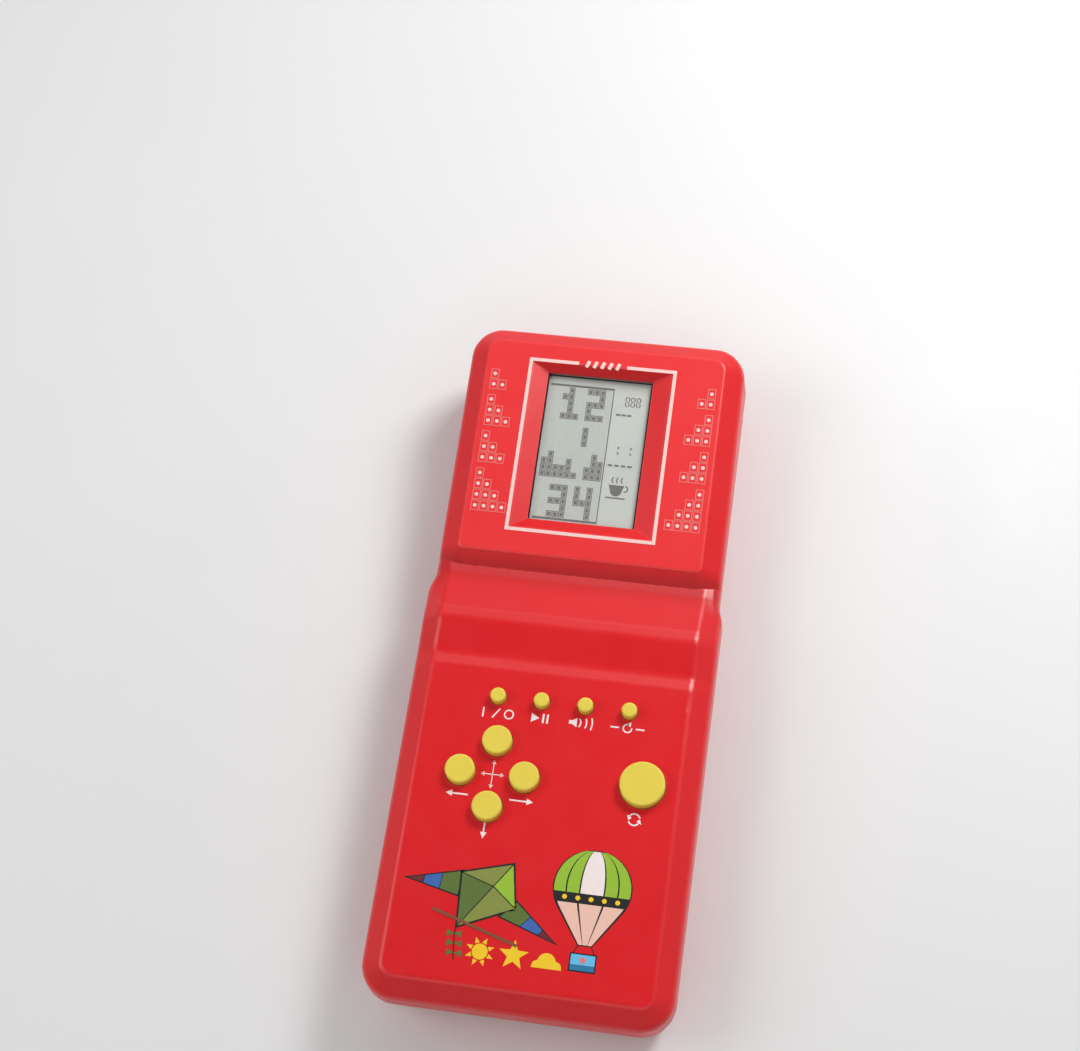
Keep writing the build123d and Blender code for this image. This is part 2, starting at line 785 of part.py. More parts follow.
def coil(x, y, toward, length):
    """Compressed coil spring along Y, starting at y on its plate."""
    turns_length = length - 2 * spring_wire - 2 * face_gap
    start = y + toward * (spring_wire + face_gap / 2)
    with BuildPart() as spring:
        with BuildLine() as path:
            Helix(
                pitch=turns_length / spring_turns,
                height=turns_length,
                radius=spring_radius,
                center=(x, start, cell_z),
                direction=(0, toward, 0),
            )
        with BuildSketch(Plane(origin=path.line @ 0, z_dir=path.line % 0)):
            Circle(spring_wire)
        sweep(is_frenet=True)
    return spring.part


battery("battery_1", -cell_pitch / 2, nub_end_1, 1)
battery("battery_2", cell_pitch / 2, nub_end_2, -1)
spring_length = bay_length - 2 * (plate + face_gap) - face_gap - cell_length

positive = contact_plate(-cell_pitch / 2, contact_y, plate_width) + solder_tab(-cell_pitch / 2)
save(positive, "battery_positive_contact")
negative_plate = contact_plate(cell_pitch / 2, contact_y, plate_width) + solder_tab(cell_pitch / 2)
negative_coil = coil(cell_pitch / 2, contact_y, -1, spring_length)
save(Compound(children=[negative_plate, negative_coil]), "battery_spring_contact")
bridge_plate = contact_plate(0, bay_low_y + face_gap, cell_pitch + plate_width)
bridge_coil = coil(-cell_pitch / 2, bridge_y, 1, spring_length)
save(Compound(children=[bridge_plate, bridge_coil]), "battery_bridge_contact")

for name, x in (("battery_wire_red", -cell_pitch / 2), ("battery_wire_black", cell_pitch / 2)):
    bend_y = tab_end_y + wire_run
    route = [(x, tab_end_y, tab_z), (x, bend_y, tab_z), (x, bend_y, board_bottom)]
    save(wire(route, [wire_bend], wire_radius), name)

# ---------------------------------------------------------------- screws
with BuildPart() as case_screws:
    with BuildSketch(Plane.XY.offset(case_head_z)):
        with Locations(*case_screw_points):
            Circle(case_head_radius)
    extrude(amount=case_head_height)
    with BuildSketch(Plane.XY.offset(case_head_z + case_head_height)):
        with Locations(*case_screw_points):
            Circle(case_shank_radius)
    extrude(amount=parting_z + case_pilot_depth - pilot_end_gap - case_head_z - case_head_height)
    with BuildSketch(Plane.XY.offset(case_head_z)):
        with Locations(*case_screw_points):
            Rectangle(*case_cross)
            Rectangle(*case_cross, rotation=90)
    extrude(amount=case_cross_depth, mode=Mode.SUBTRACT)
save(case_screws.part, "case_screws")

with BuildPart() as board_screws:
    with BuildSketch(Plane.XY.offset(board_bottom - board_head_height)):
        with Locations(*board_screw_points):
            Circle(board_head_radius)
    extrude(amount=board_head_height)
    with BuildSketch(Plane.XY.offset(board_bottom)):
        with Locations(*board_screw_points):
            Circle(board_shank_radius)
    extrude(amount=board_thickness + board_pilot_depth - pilot_end_gap)
    with BuildSketch(Plane.XY.offset(board_bottom - board_head_height)):
        with Locations(*board_screw_points):
            Rectangle(*board_cross)
            Rectangle(*board_cross, rotation=90)
    extrude(amount=board_cross_depth, mode=Mode.SUBTRACT)
save(board_screws.part, "board_screws")

# ---------------------------------------------------------------- rubber keypads


def key_sheet(name, members, low_corner, high_corner):
    """Silicone sheet that lies on the board, with an opening under each of its keys."""
    size = (high_corner[0] - low_corner[0], high_corner[1] - low_corner[1])
    middle = ((high_corner[0] + low_corner[0]) / 2, (high_corner[1] + low_corner[1]) / 2)
    with BuildPart() as sheet:
        with BuildSketch(Plane.XY.offset(board_top)):
            with Locations(middle):
                RectangleRounded(*size, sheet_corner)
            for _, x, y, cap in members:
                with Locations((x, y)):
                    Circle(dome_radius(cap) - web_thickness, mode=Mode.SUBTRACT)
        extrude(amount=sheet_thickness)
    save(sheet.part, name)


row = keys[: len(function_keys)]
row_reach = dome_radius(function_radius) + sheet_margin
key_sheet(
    "function_key_sheet",
    row,
    (row[0][1] - row_reach, function_y - row_reach),
    (row[-1][1] + row_reach, function_y + row_reach),
)
pad_reach = dome_radius(pad_radius) + sheet_margin
key_sheet(
    "action_key_sheet",
    keys[len(function_keys) :],
    (pad_x - pad_arm_x - pad_reach, pad_y - pad_arm_y - pad_reach),
    (board_half_width - sheet_edge_gap, pad_y + pad_arm_y + pad_reach),
)

for name, x, y, cap in keys:
    flange = flange_radius(cap)
    core = flange - web_thickness - core_gap
    with BuildPart() as key:
        with BuildSketch(Plane.XY.offset(core_bottom)):
            with Locations((x, y)):
                Circle(core)
        extrude(amount=flange_bottom - core_bottom)
        with BuildSketch(Plane.XY.offset(flange_bottom)):
            with Locations((x, y)):
                Circle(flange)
        extrude(amount=flange_thickness)
        with BuildSketch(Plane.XY.offset(flange_bottom + flange_thickness)):
            with Locations((x, y)):
                Circle(cap)
        extrude(amount=key_top - flange_bottom - flange_thickness)
        fillet(key.edges().group_by(Axis.Z)[-1], radius=key_edge_radius)
    save(key.part, name)

    with BuildPart() as dome:
        with BuildSketch(Plane.XZ.offset(-y)):
            with BuildLine():
                foot = dome_radius(cap)
                Polyline(
                    (x + foot - web_thickness, sheet_top),
                    (x + foot, sheet_top),
                    (x + flange, flange_bottom),
                    (x + flange - web_thickness, flange_bottom),
                    close=True,
                )
            make_face()
        revolve(axis=Axis((x, y, 0), (0, 0, 1)))
    save(dome.part, name.replace("key_", "dome_"))

    with BuildPart() as pill:
        with BuildSketch(Plane.XY.offset(pill_bottom)):
            with Locations((x, y)):
                Circle(core - pill_margin)
        extrude(amount=pill_thickness)
    save(pill.part, name.replace("key_", "pill_"))
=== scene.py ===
import json
import math
import bmesh
import bpy
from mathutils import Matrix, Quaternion, Vector


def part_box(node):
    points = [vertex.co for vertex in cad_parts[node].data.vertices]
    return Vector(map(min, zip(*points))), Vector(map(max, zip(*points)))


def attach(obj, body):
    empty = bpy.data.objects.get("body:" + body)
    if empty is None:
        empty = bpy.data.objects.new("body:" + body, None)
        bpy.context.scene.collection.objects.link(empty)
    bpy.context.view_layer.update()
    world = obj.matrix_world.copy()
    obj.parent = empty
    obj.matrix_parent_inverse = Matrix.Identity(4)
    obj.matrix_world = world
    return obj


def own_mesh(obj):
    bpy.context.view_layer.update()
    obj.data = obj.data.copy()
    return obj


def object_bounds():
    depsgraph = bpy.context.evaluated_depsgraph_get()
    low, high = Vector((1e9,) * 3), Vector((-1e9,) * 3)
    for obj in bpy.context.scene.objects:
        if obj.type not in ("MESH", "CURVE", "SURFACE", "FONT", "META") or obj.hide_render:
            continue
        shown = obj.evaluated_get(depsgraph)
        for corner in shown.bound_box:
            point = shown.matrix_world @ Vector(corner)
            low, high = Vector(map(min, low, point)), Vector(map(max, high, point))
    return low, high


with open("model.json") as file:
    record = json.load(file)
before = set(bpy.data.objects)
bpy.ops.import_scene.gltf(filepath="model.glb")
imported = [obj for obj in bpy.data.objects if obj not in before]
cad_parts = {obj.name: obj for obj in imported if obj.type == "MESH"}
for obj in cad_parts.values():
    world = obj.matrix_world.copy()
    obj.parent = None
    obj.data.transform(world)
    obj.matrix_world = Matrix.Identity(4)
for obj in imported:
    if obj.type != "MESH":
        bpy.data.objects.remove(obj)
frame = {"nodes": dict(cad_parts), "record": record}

cad_low, cad_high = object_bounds()
MM = 0.001
INK = 0.03 * MM  # thickness of one printed layer
PANEL_TILT = math.radians(4.6)  # slope of the screen panel
LEAN_TOLERANCE = math.radians(0.6)  # how far a face may turn from the lean asked for


# ---------------------------------------------------------------- places read from the frame
class Surface:
    """A flat printed face: its origin, X across, V up the slope, N out of it, and its extent in mm."""

    def __init__(self, origin, normal, low, high):
        self.origin = Vector(origin)
        self.low = low
        self.high = high
        self.n = Vector(normal).normalized()
        self.v = self.n.cross(Vector((1, 0, 0))).normalized()

    def at(self, x, y, lift=0.0):
        """Point above the world place x, y, raised off the face by lift; all in metres."""
        run = (y - self.origin.y) / self.v.y
        flat = self.origin + Vector((x - self.origin.x, 0, 0)) + self.v * run
        return flat + self.n * lift


def flat_facing(node, lean):
    """Middle by area, normal and extent of all of a node's faces that lean like the given direction."""
    mesh = frame["nodes"][node].data
    near = [p for p in mesh.polygons if p.normal.dot(lean) > math.cos(LEAN_TOLERANCE)]
    area = sum(p.area for p in near)
    origin = sum((p.center * p.area for p in near), Vector()) / area
    normal = sum((p.normal * p.area for p in near), Vector()).normalized()
    points = [mesh.vertices[i].co / MM for p in near for i in p.vertices]
    low = Vector([min(point[k] for point in points) for k in range(3)])
    high = Vector([max(point[k] for point in points) for k in range(3)])
    return origin, normal, low, high


def box_mm(node):
    """Lowest and highest corners of a node, in millimetres."""
    low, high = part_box(node)
    return low / MM, high / MM


def middle_of(*nodes):
    """Middle of one node, or of several together, as seen from above, in millimetres."""
    middles = [sum(box_mm(node), Vector()) / 2 for node in nodes]
    middle = sum(middles, Vector()) / len(middles)
    return Vector((middle.x, middle.y))


panel_lean = Vector((0, -math.sin(PANEL_TILT), math.cos(PANEL_TILT)))
deck = Surface(*flat_facing("front_shell", Vector((0, 0, 1))))
panel = Surface(*flat_facing("front_shell", panel_lean))
window = Surface(*flat_facing("window_lens", panel_lean))
display = Surface(*flat_facing("lcd_front_polariser", panel_lean))


# ---------------------------------------------------------------- materials
def new_material(name):
    """Empty node material; returns the material, its nodes, its links and its shader."""
    material = bpy.data.materials.new(name)
    material.use_nodes = True
    nodes = material.node_tree.nodes
    return material, nodes, material.node_tree.links, nodes["Principled BSDF"]


def noise(nodes, links, scale, detail=4.0, roughness=0.5, stretch=(1, 1, 1)):
    """Noise in the object's own coordinates; returns its grey output."""
    where = nodes.new("ShaderNodeTexCoord")
    mapping = nodes.new("ShaderNodeMapping")
    mapping.inputs["Scale"].default_value = stretch
    texture = nodes.new("ShaderNodeTexNoise")
    texture.inputs["Scale"].default_value = scale
    texture.inputs["Detail"].default_value = detail
    texture.inputs["Roughness"].default_value = roughness
    links.new(where.outputs["Object"], mapping.inputs["Vector"])
    links.new(mapping.outputs["Vector"], texture.inputs["Vector"])
    return texture.outputs["Fac"]


def spread(nodes, links, source, low, high, start=0.35, end=0.65):
    """Maps a grey value from start..end onto low..high."""
    ranged = nodes.new("ShaderNodeMapRange")
    ranged.inputs["From Min"].default_value = start
    ranged.inputs["From Max"].default_value = end
    ranged.inputs["To Min"].default_value = low
    ranged.inputs["To Max"].default_value = high
    links.new(source, ranged.inputs["Value"])
    return ranged.outputs["Result"]


def product(nodes, links, a, b):
    """Product of two grey values."""
    node = nodes.new("ShaderNodeMath")
    node.operation = "MULTIPLY"
    links.new(a, node.inputs[0])
    links.new(b, node.inputs[1])
    return node.outputs["Value"]


def ramp(nodes, links, source, stops):
    """Colour ramp over a grey value; stops are (place, colour)."""
    band = nodes.new("ShaderNodeValToRGB")
    elements = band.color_ramp.elements
    while len(elements) < len(stops):
        elements.new(0.5)
    for element, (place, colour) in zip(elements, stops):
        element.position = place
        element.color = (*colour, 1.0)
    links.new(source, band.inputs["Fac"])
    return band.outputs["Color"]


def blend(nodes, links, factor, first, second_colour):
    """Fades from a colour output to a plain colour where the factor is high."""
    mix = nodes.new("ShaderNodeMix")
    mix.data_type = "RGBA"
    mix.inputs["B"].default_value = (*second_colour, 1.0)
    links.new(factor, mix.inputs["Factor"])
    links.new(first, mix.inputs["A"])
    return mix.outputs["Result"]


def bump(nodes, links, shader, height, distance, strength=1.0):
    """Fine relief from a height; distance in metres."""
    node = nodes.new("ShaderNodeBump")
    node.inputs["Strength"].default_value = strength
    node.inputs["Distance"].default_value = distance
    links.new(height, node.inputs["Height"])
    links.new(node.outputs["Normal"], shader.inputs["Normal"])


def edge_mask(nodes, links, radius, strength):
    """High where the surface turns sharply, broken up by a fine scuff pattern."""
    rounded = nodes.new("ShaderNodeBevel")
    rounded.samples = 4
    rounded.inputs["Radius"].default_value = radius
    geometry = nodes.new("ShaderNodeNewGeometry")
    turn = nodes.new("ShaderNodeVectorMath")
    turn.operation = "DOT_PRODUCT"
    links.new(rounded.outputs["Normal"], turn.inputs[0])
    links.new(geometry.outputs["Normal"], turn.inputs[1])
    edge = spread(nodes, links, turn.outputs["Value"], 1.0, 0.0, 0.90, 0.995)
    scuff = noise(nodes, links, 700.0, 5.0, 0.65)
    scuffed = spread(nodes, links, scuff, 0.25 * strength, strength, 0.40, 0.62)
    return product(nodes, links, edge, scuffed)


def shade(colour, factor):
    """The colour, lighter or darker by a factor."""
    return tuple(min(1.0, c * factor) for c in colour)


def moulded(name, colour, rough=0.35, vary=0.06, grain=1500.0, relief=0.006, spots=90.0, worn_and_highlight=None):
    """Plastic, rubber or ink: slow colour drift, uneven gloss, fine grain, and edges lightened if asked,
    partly as wear and partly as a painted highlight.
    """
    material, nodes, links, shader = new_material(name)
    drift = noise(nodes, links, spots, 5.0)
    stops = [(0.3, shade(colour, 1 - vary)), (0.7, shade(colour, 1 + vary))]
    body = ramp(nodes, links, drift, stops)
    if worn_and_highlight:
        # Edges are lightened, partly as wear and partly as a painted highlight
        body = blend(nodes, links, edge_mask(nodes, links, 0.5 * MM, 0.8), body, worn_and_highlight)
    links.new(body, shader.inputs["Base Color"])
    gloss = noise(nodes, links, spots * 4, 6.0, 0.6)
    links.new(spread(nodes, links, gloss, rough * 0.85, rough * 1.2), shader.inputs["Roughness"])
    bump(nodes, links, shader, noise(nodes, links, grain, 2.0), relief * MM)
    return material


RED = (0.70, 0.0125, 0.0165)
RED_PANEL = (0.80, 0.036, 0.040)
# Lighter red of the edges: scuffs and a painted highlight
RED_EDGE_WEAR_AND_HIGHLIGHT = (0.86, 0.11, 0.10)
# Painted shade for the bottom of the valley under the screen panel
RED_VALLEY_SHADE = (0.48, 0.008, 0.011)
PANEL_FOOT = 25.0 * MM  # the screen panel lies beyond this place along Y
VALLEY_NEAR = (15.0 * MM, 21.5 * MM)  # the valley's painted shade fades in along Y
VALLEY_FAR = (25.5 * MM, 28.0 * MM)  # and out again
VALLEY_LOW = (17.5 * MM, 19.0 * MM)  # it fades in up Z
VALLEY_HIGH = (20.8 * MM, 23.0 * MM)  # and out again


def on_panel_mask(nodes, links):
    """1 on the raised panel round the screen and 0 elsewhere."""
    where = nodes.new("ShaderNodeTexCoord")
    height = nodes.new("ShaderNodeVectorMath")
    height.operation = "DOT_PRODUCT"
    height.inputs[1].default_value = panel.n
    links.new(where.outputs["Object"], height.inputs[0])
    level = panel.n.dot(panel.origin)
    raised = spread(nodes, links, height.outputs["Value"], 0.0, 1.0, level - 0.5 * MM, level - 0.1 * MM)
    axes = nodes.new("ShaderNodeSeparateXYZ")
    links.new(where.outputs["Object"], axes.inputs["Vector"])
    beyond = spread(nodes, links, axes.outputs["Y"], 0.0, 1.0, PANEL_FOOT, PANEL_FOOT + 1.0 * MM)
    return product(nodes, links, raised, beyond)


def valley_shade_mask(nodes, links):
    """High at the bottom of the valley between the neck and the screen panel, where painted shade darkens
    the case.
    """
    where = nodes.new("ShaderNodeTexCoord")
    axes = nodes.new("ShaderNodeSeparateXYZ")
    links.new(where.outputs["Object"], axes.inputs["Vector"])
    near = spread(nodes, links, axes.outputs["Y"], 0.0, 1.0, *VALLEY_NEAR)
    far = spread(nodes, links, axes.outputs["Y"], 1.0, 0.0, *VALLEY_FAR)
    low = spread(nodes, links, axes.outputs["Z"], 0.0, 1.0, *VALLEY_LOW)
    high = spread(nodes, links, axes.outputs["Z"], 0.7, 0.0, *VALLEY_HIGH)
    return product(nodes, links, product(nodes, links, near, far), product(nodes, links, low, high))


def red_case():
    """Satin red styrene; its edges are lightened, partly as scuffs and partly as a painted highlight, the
    screen panel is tinted paler, and the valley is darkened with painted shade.
    """
    material, nodes, links, shader = new_material("red_styrene")
    drift = noise(nodes, links, 24.0, 2.0)
    body = ramp(nodes, links, drift, [(0.3, shade(RED, 0.975)), (0.7, shade(RED, 1.025))])
    raised = on_panel_mask(nodes, links)
    body = blend(nodes, links, raised, body, RED_PANEL)
    # Painted shade darkens the bottom of the valley
    body = blend(nodes, links, valley_shade_mask(nodes, links), body, RED_VALLEY_SHADE)
    # Edges are lightened, partly as scuffs and partly as a painted highlight
    body = blend(nodes, links, edge_mask(nodes, links, 0.9 * MM, 0.6), body, RED_EDGE_WEAR_AND_HIGHLIGHT)
    links.new(body, shader.inputs["Base Color"])
    gloss = noise(nodes, links, 130.0, 5.0, 0.6)
    links.new(spread(nodes, links, gloss, 0.285, 0.345), shader.inputs["Roughness"])
    bump(nodes, links, shader, noise(nodes, links, 1100.0, 3.0), 0.006 * MM, 0.7)
    shader.inputs["Subsurface Weight"].default_value = 0.04
    shader.inputs["Subsurface Radius"].default_value = (1.0, 0.1, 0.1)
    shader.inputs["Subsurface Scale"].default_value = 0.6 * MM
    return material


def clear_window():
    """Polished clear sheet, drawn as a thin dark film that is nearly all see-through."""
    material, nodes, links, shader = new_material("clear_window")
    smudge = noise(nodes, links, 160.0, 5.0, 0.6)
    links.new(spread(nodes, links, smudge, 0.04, 0.12), shader.inputs["Roughness"])
    bump(nodes, links, shader, noise(nodes, links, 60.0, 2.0), 0.004 * MM)
    shader.inputs["Base Color"].default_value = (0.20, 0.22, 0.21, 1.0)
    shader.inputs["Alpha"].default_value = 0.10
    shader.inputs["IOR"].default_value = 1.49
    return material


def display_glass():
    """Thin greenish glass, partly see-through."""
    material, nodes, links, shader = new_material("display_glass")
    smudge = noise(nodes, links, 220.0, 5.0, 0.6)
    links.new(spread(nodes, links, smudge, 0.03, 0.10), shader.inputs["Roughness"])
    bump(nodes, links, shader, smudge, 0.002 * MM)
    shader.inputs["Base Color"].default_value = (0.80, 0.86, 0.82, 1.0)
    shader.inputs["Alpha"].default_value = 0.35
    return material


def display_field():
    """Pale grey-green front film of the display: cloudy, with a fine vertical grain."""
    material, nodes, links, shader = new_material("display_field")
    cloud = noise(nodes, links, 45.0, 3.0)
    stops = [(0.35, (0.68, 0.72, 0.67)), (0.65, (0.74, 0.78, 0.72))]
    links.new(ramp(nodes, links, cloud, stops), shader.inputs["Base Color"])
    fine = noise(nodes, links, 3000.0, 2.0, 0.5, (1, 0.25, 1))
    links.new(spread(nodes, links, fine, 0.38, 0.52), shader.inputs["Roughness"])
    bump(nodes, links, shader, fine, 0.003 * MM, 0.6)
    return material


def metal(name, colour, rough, grain=1400.0, stretch=(1, 1, 1)):
    """Bare or plated metal with fine drawn lines."""
    material, nodes, links, shader = new_material(name)
    tone = noise(nodes, links, 300.0, 4.0)
    stops = [(0.3, shade(colour, 0.85)), (0.7, shade(colour, 1.08))]
    links.new(ramp(nodes, links, tone, stops), shader.inputs["Base Color"])
    lines = noise(nodes, links, grain, 4.0, 0.6, stretch)
    links.new(spread(nodes, links, lines, rough * 0.7, rough * 1.5), shader.inputs["Roughness"])
    bump(nodes, links, shader, lines, 0.004 * MM, 0.7)
    shader.inputs["Metallic"].default_value = 1.0
    return material


def battery_sleeve(node, direction):
    """Printed sleeve of a dry cell: dark, with a copper band at the end its nub is on."""
    material, nodes, links, shader = new_material("sleeve_" + node)
    where = nodes.new("ShaderNodeTexCoord")
    axes = nodes.new("ShaderNodeSeparateXYZ")
    links.new(where.outputs["Object"], axes.inputs["Vector"])
    low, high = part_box(node)
    start, end = (low.y, high.y) if direction > 0 else (-high.y, -low.y)
    place = nodes.new("ShaderNodeMath")
    place.operation = "MULTIPLY"
    place.inputs[1].default_value = direction
    links.new(axes.outputs["Y"], place.inputs[0])
    along = spread(nodes, links, place.outputs["Value"], 0.0, 1.0, start, end)
    stops = [
        (0.0, (0.55, 0.55, 0.52)),
        (0.02, (0.020, 0.024, 0.035)),
        (0.68, (0.45, 0.20, 0.07)),
        (0.97, (0.62, 0.60, 0.56)),
    ]
    colour = ramp(nodes, links, along, stops)
    colour.node.color_ramp.interpolation = "CONSTANT"
    links.new(colour, shader.inputs["Base Color"])
    wear = noise(nodes, links, 500.0, 5.0)
    links.new(spread(nodes, links, wear, 0.22, 0.42), shader.inputs["Roughness"])
    bump(nodes, links, shader, wear, 0.004 * MM)
    shader.inputs["Metallic"].default_value = 0.6
    return material


def circuit_laminate():
    """Green resist over paper board, with lighter copper runs showing through."""
    material, nodes, links, shader = new_material("circuit_laminate")
    where = nodes.new("ShaderNodeTexCoord")
    runs = nodes.new("ShaderNodeTexBrick")
    runs.inputs["Scale"].default_value = 160.0
    runs.inputs["Mortar Size"].default_value = 0.05
    runs.inputs["Color1"].default_value = (0.030, 0.130, 0.050, 1.0)
    runs.inputs["Color2"].default_value = (0.036, 0.150, 0.060, 1.0)
    runs.inputs["Mortar"].default_value = (0.10, 0.26, 0.10, 1.0)
    links.new(where.outputs["Object"], runs.inputs["Vector"])
    links.new(runs.outputs["Color"], shader.inputs["Base Color"])
    fibre = noise(nodes, links, 1200.0, 4.0)
    links.new(spread(nodes, links, fibre, 0.30, 0.48), shader.inputs["Roughness"])
    bump(nodes, links, shader, runs.outputs["Fac"], 0.03 * MM, 0.5)
    return material


YELLOW = (0.75, 0.59, 0.062)
# Lighter rim of the keys: wear and a painted highlight
YELLOW_EDGE_WEAR_AND_HIGHLIGHT = (0.95, 0.80, 0.22)
finishes = {
    "red_case": red_case(),
    "key_rubber": moulded(
        "yellow_silicone",
        YELLOW,
        rough=0.52,
        vary=0.03,
        grain=900.0,
        relief=0.008,
        spots=60.0,
        worn_and_highlight=YELLOW_EDGE_WEAR_AND_HIGHLIGHT,
    ),
    "clear_window": clear_window(),
    "polariser": display_field(),
    "lcd_glass": display_glass(),
    "lcd_back": moulded(
        "display_reflector", (0.50, 0.55, 0.46), rough=0.45, vary=0.04, grain=2500.0, relief=0.004
    ),
    "contact_rubber": moulded("carbon_rubber", (0.018, 0.018, 0.019), rough=0.62, vary=0.2, relief=0.02),
    "inner_plastic": moulded("natural_plastic", (0.72, 0.71, 0.67), rough=0.42, vary=0.04),
    "circuit_board": circuit_laminate(),
    "epoxy": moulded(
        "black_epoxy", (0.010, 0.010, 0.011), rough=0.25, vary=0.3, grain=900.0, relief=0.03
    ),
    "capacitor_sleeve": moulded("capacitor_sleeve", (0.012, 0.020, 0.075), rough=0.30, vary=0.1),
    "ceramic_chip": moulded("ceramic_chip", (0.36, 0.24, 0.14), rough=0.5, vary=0.15),
    "resistor_body": moulded("resistor_lacquer", (0.60, 0.45, 0.25), rough=0.35, vary=0.12),
    "brass_disc": metal("brass_disc", (0.80, 0.58, 0.25), rough=0.28),
    "piezo_silver": metal("piezo_silver", (0.80, 0.79, 0.75), rough=0.45),
    "wire_red": moulded("red_insulation", (0.48, 0.010, 0.010), rough=0.40, vary=0.08),
    "wire_black": moulded("black_insulation", (0.012, 0.012, 0.013), rough=0.42, vary=0.2),
    "contact_metal": metal(
        "nickel_plate", (0.70, 0.68, 0.63), rough=0.22, grain=1800.0, stretch=(1, 1, 0.1)
    ),
    "cell_can": battery_sleeve("battery_1", 1),
    "screw_steel": metal("zinc_plate", (0.62, 0.62, 0.60), rough=0.32),
}

for entry in frame["record"]["subparts"]:
    mesh = frame["nodes"][entry["node"]].data
    mesh.materials.clear()
    mesh.materials.append(finishes[entry["material_slot"]])
# The second cell lies the other way round, so its sleeve is turned too
turned_cell = frame["nodes"]["battery_2"].data
turned_cell.materials.clear()
turned_cell.materials.append(battery_sleeve("battery_2", -1))

# Each silicone web under a key gets its own copy of its mesh
for name, node in frame["nodes"].items():
    if name.startswith("dome_"):
        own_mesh(node)


# ---------------------------------------------------------------- camera, light and floor
def add_camera():
    """Camera above the keys and a little to the right, rolled so that the screen end leans right."""
    azimuth = math.radians(19.11)
    elevation = math.radians(66.84)
    roll = math.radians(-11.66)
    distance = 560.9 * MM
    aim = Vector((-11.68, 35.82, 24.0)) * MM
    level = math.cos(elevation)
    back = Vector((math.sin(azimuth) * level, -math.cos(azimuth) * level, math.sin(elevation)))
    data = bpy.data.cameras.new("camera")
    data.sensor_width = 36.0
    data.lens = 69.2
    data.clip_start = 0.01
    camera = bpy.data.objects.new("camera", data)
    bpy.context.scene.collection.objects.link(camera)
    camera.location = aim + back * distance
    camera.rotation_mode = "QUATERNION"
    camera.rotation_quaternion = back.to_track_quat("Z", "Y") @ Quaternion((0, 0, 1), roll)
    bpy.context.scene.camera = camera


def add_light(name, place, aim, power, width, height):
    """Soft box that faces a point; places in metres, power in watts."""
    data = bpy.data.lights.new(name, "AREA")
    data.shape = "RECTANGLE"
    data.energy = power
    data.size = width
    data.size_y = height
    light = bpy.data.objects.new(name, data)
    bpy.context.scene.collection.objects.link(light)
    light.location = place
    light.rotation_mode = "QUATERNION"
    light.rotation_quaternion = (Vector(place) - Vector(aim)).to_track_quat("Z", "Y")


def add_floor():
    """Plain pale floor under the object."""
    material = moulded(
        "pale_floor", (0.76, 0.76, 0.755), rough=0.6, vary=0.01, grain=400.0, relief=0.01, spots=6.0
    )
    mesh = bpy.data.meshes.new("floor")
    reach = 3.0
    drop = 0.05 * MM  # keeps the floor clear of the object's underside
    corners = [(-reach, -reach, 0), (reach, -reach, 0), (reach, reach, 0), (-reach, reach, 0)]
    mesh.from_pydata(corners, [], [(0, 1, 2, 3)])
    mesh.materials.append(material)
    floor = bpy.data.objects.new("floor", mesh)
    bpy.context.scene.collection.objects.link(floor)
    floor.location.z = cad_low.z - drop


def add_world():
    """Studio dome: a bright ring halfway up and a dim zenith, so that rounded edges catch the light."""
    world = bpy.data.worlds.new("studio")
    world.use_nodes = True
    nodes = world.node_tree.nodes
    links = world.node_tree.links
    where = nodes.new("ShaderNodeTexCoord")
    axes = nodes.new("ShaderNodeSeparateXYZ")
    links.new(where.outputs["Generated"], axes.inputs["Vector"])
    stops = [
        (0.00, (0.70, 0.70, 0.71)),
        (0.18, (0.50, 0.50, 0.51)),
        (0.45, (0.44, 0.44, 0.45)),
        (0.60, (1.30, 1.30, 1.30)),
        (0.74, (1.25, 1.25, 1.25)),
        (0.86, (0.16, 0.16, 0.17)),
    ]
    links.new(ramp(nodes, links, axes.outputs["Z"], stops), nodes["Background"].inputs["Color"])
    nodes["Background"].inputs["Strength"].default_value = 0.60
    bpy.context.scene.world = world


add_camera()
add_floor()
add_world()
centre = (cad_low + cad_high) / 2
screen_end = Vector((0, 50, 20)) * MM
add_light("key_light", (0.27, 0.38, 0.42), screen_end, 2.5, 0.22, 0.22)
add_light("left_fill", (-0.62, -0.10, 0.60), centre, 1.9, 0.50, 0.50)
add_light("band_light", (-0.10, 0.64, 0.68), centre, 0.55, 1.00, 0.12)
add_light("front_fill", (0.10, -0.60, 0.70), centre, 0.7, 0.90, 0.35)
bpy.context.scene.view_settings.view_transform = "Standard"


# ---------------------------------------------------------------- printed shapes
def ink(name, colour, rough=0.4):
    """Screen-printed ink: nearly even colour with a faint mottle."""
    return moulded(name, colour, rough, vary=0.03, relief=0.002, spots=700.0)


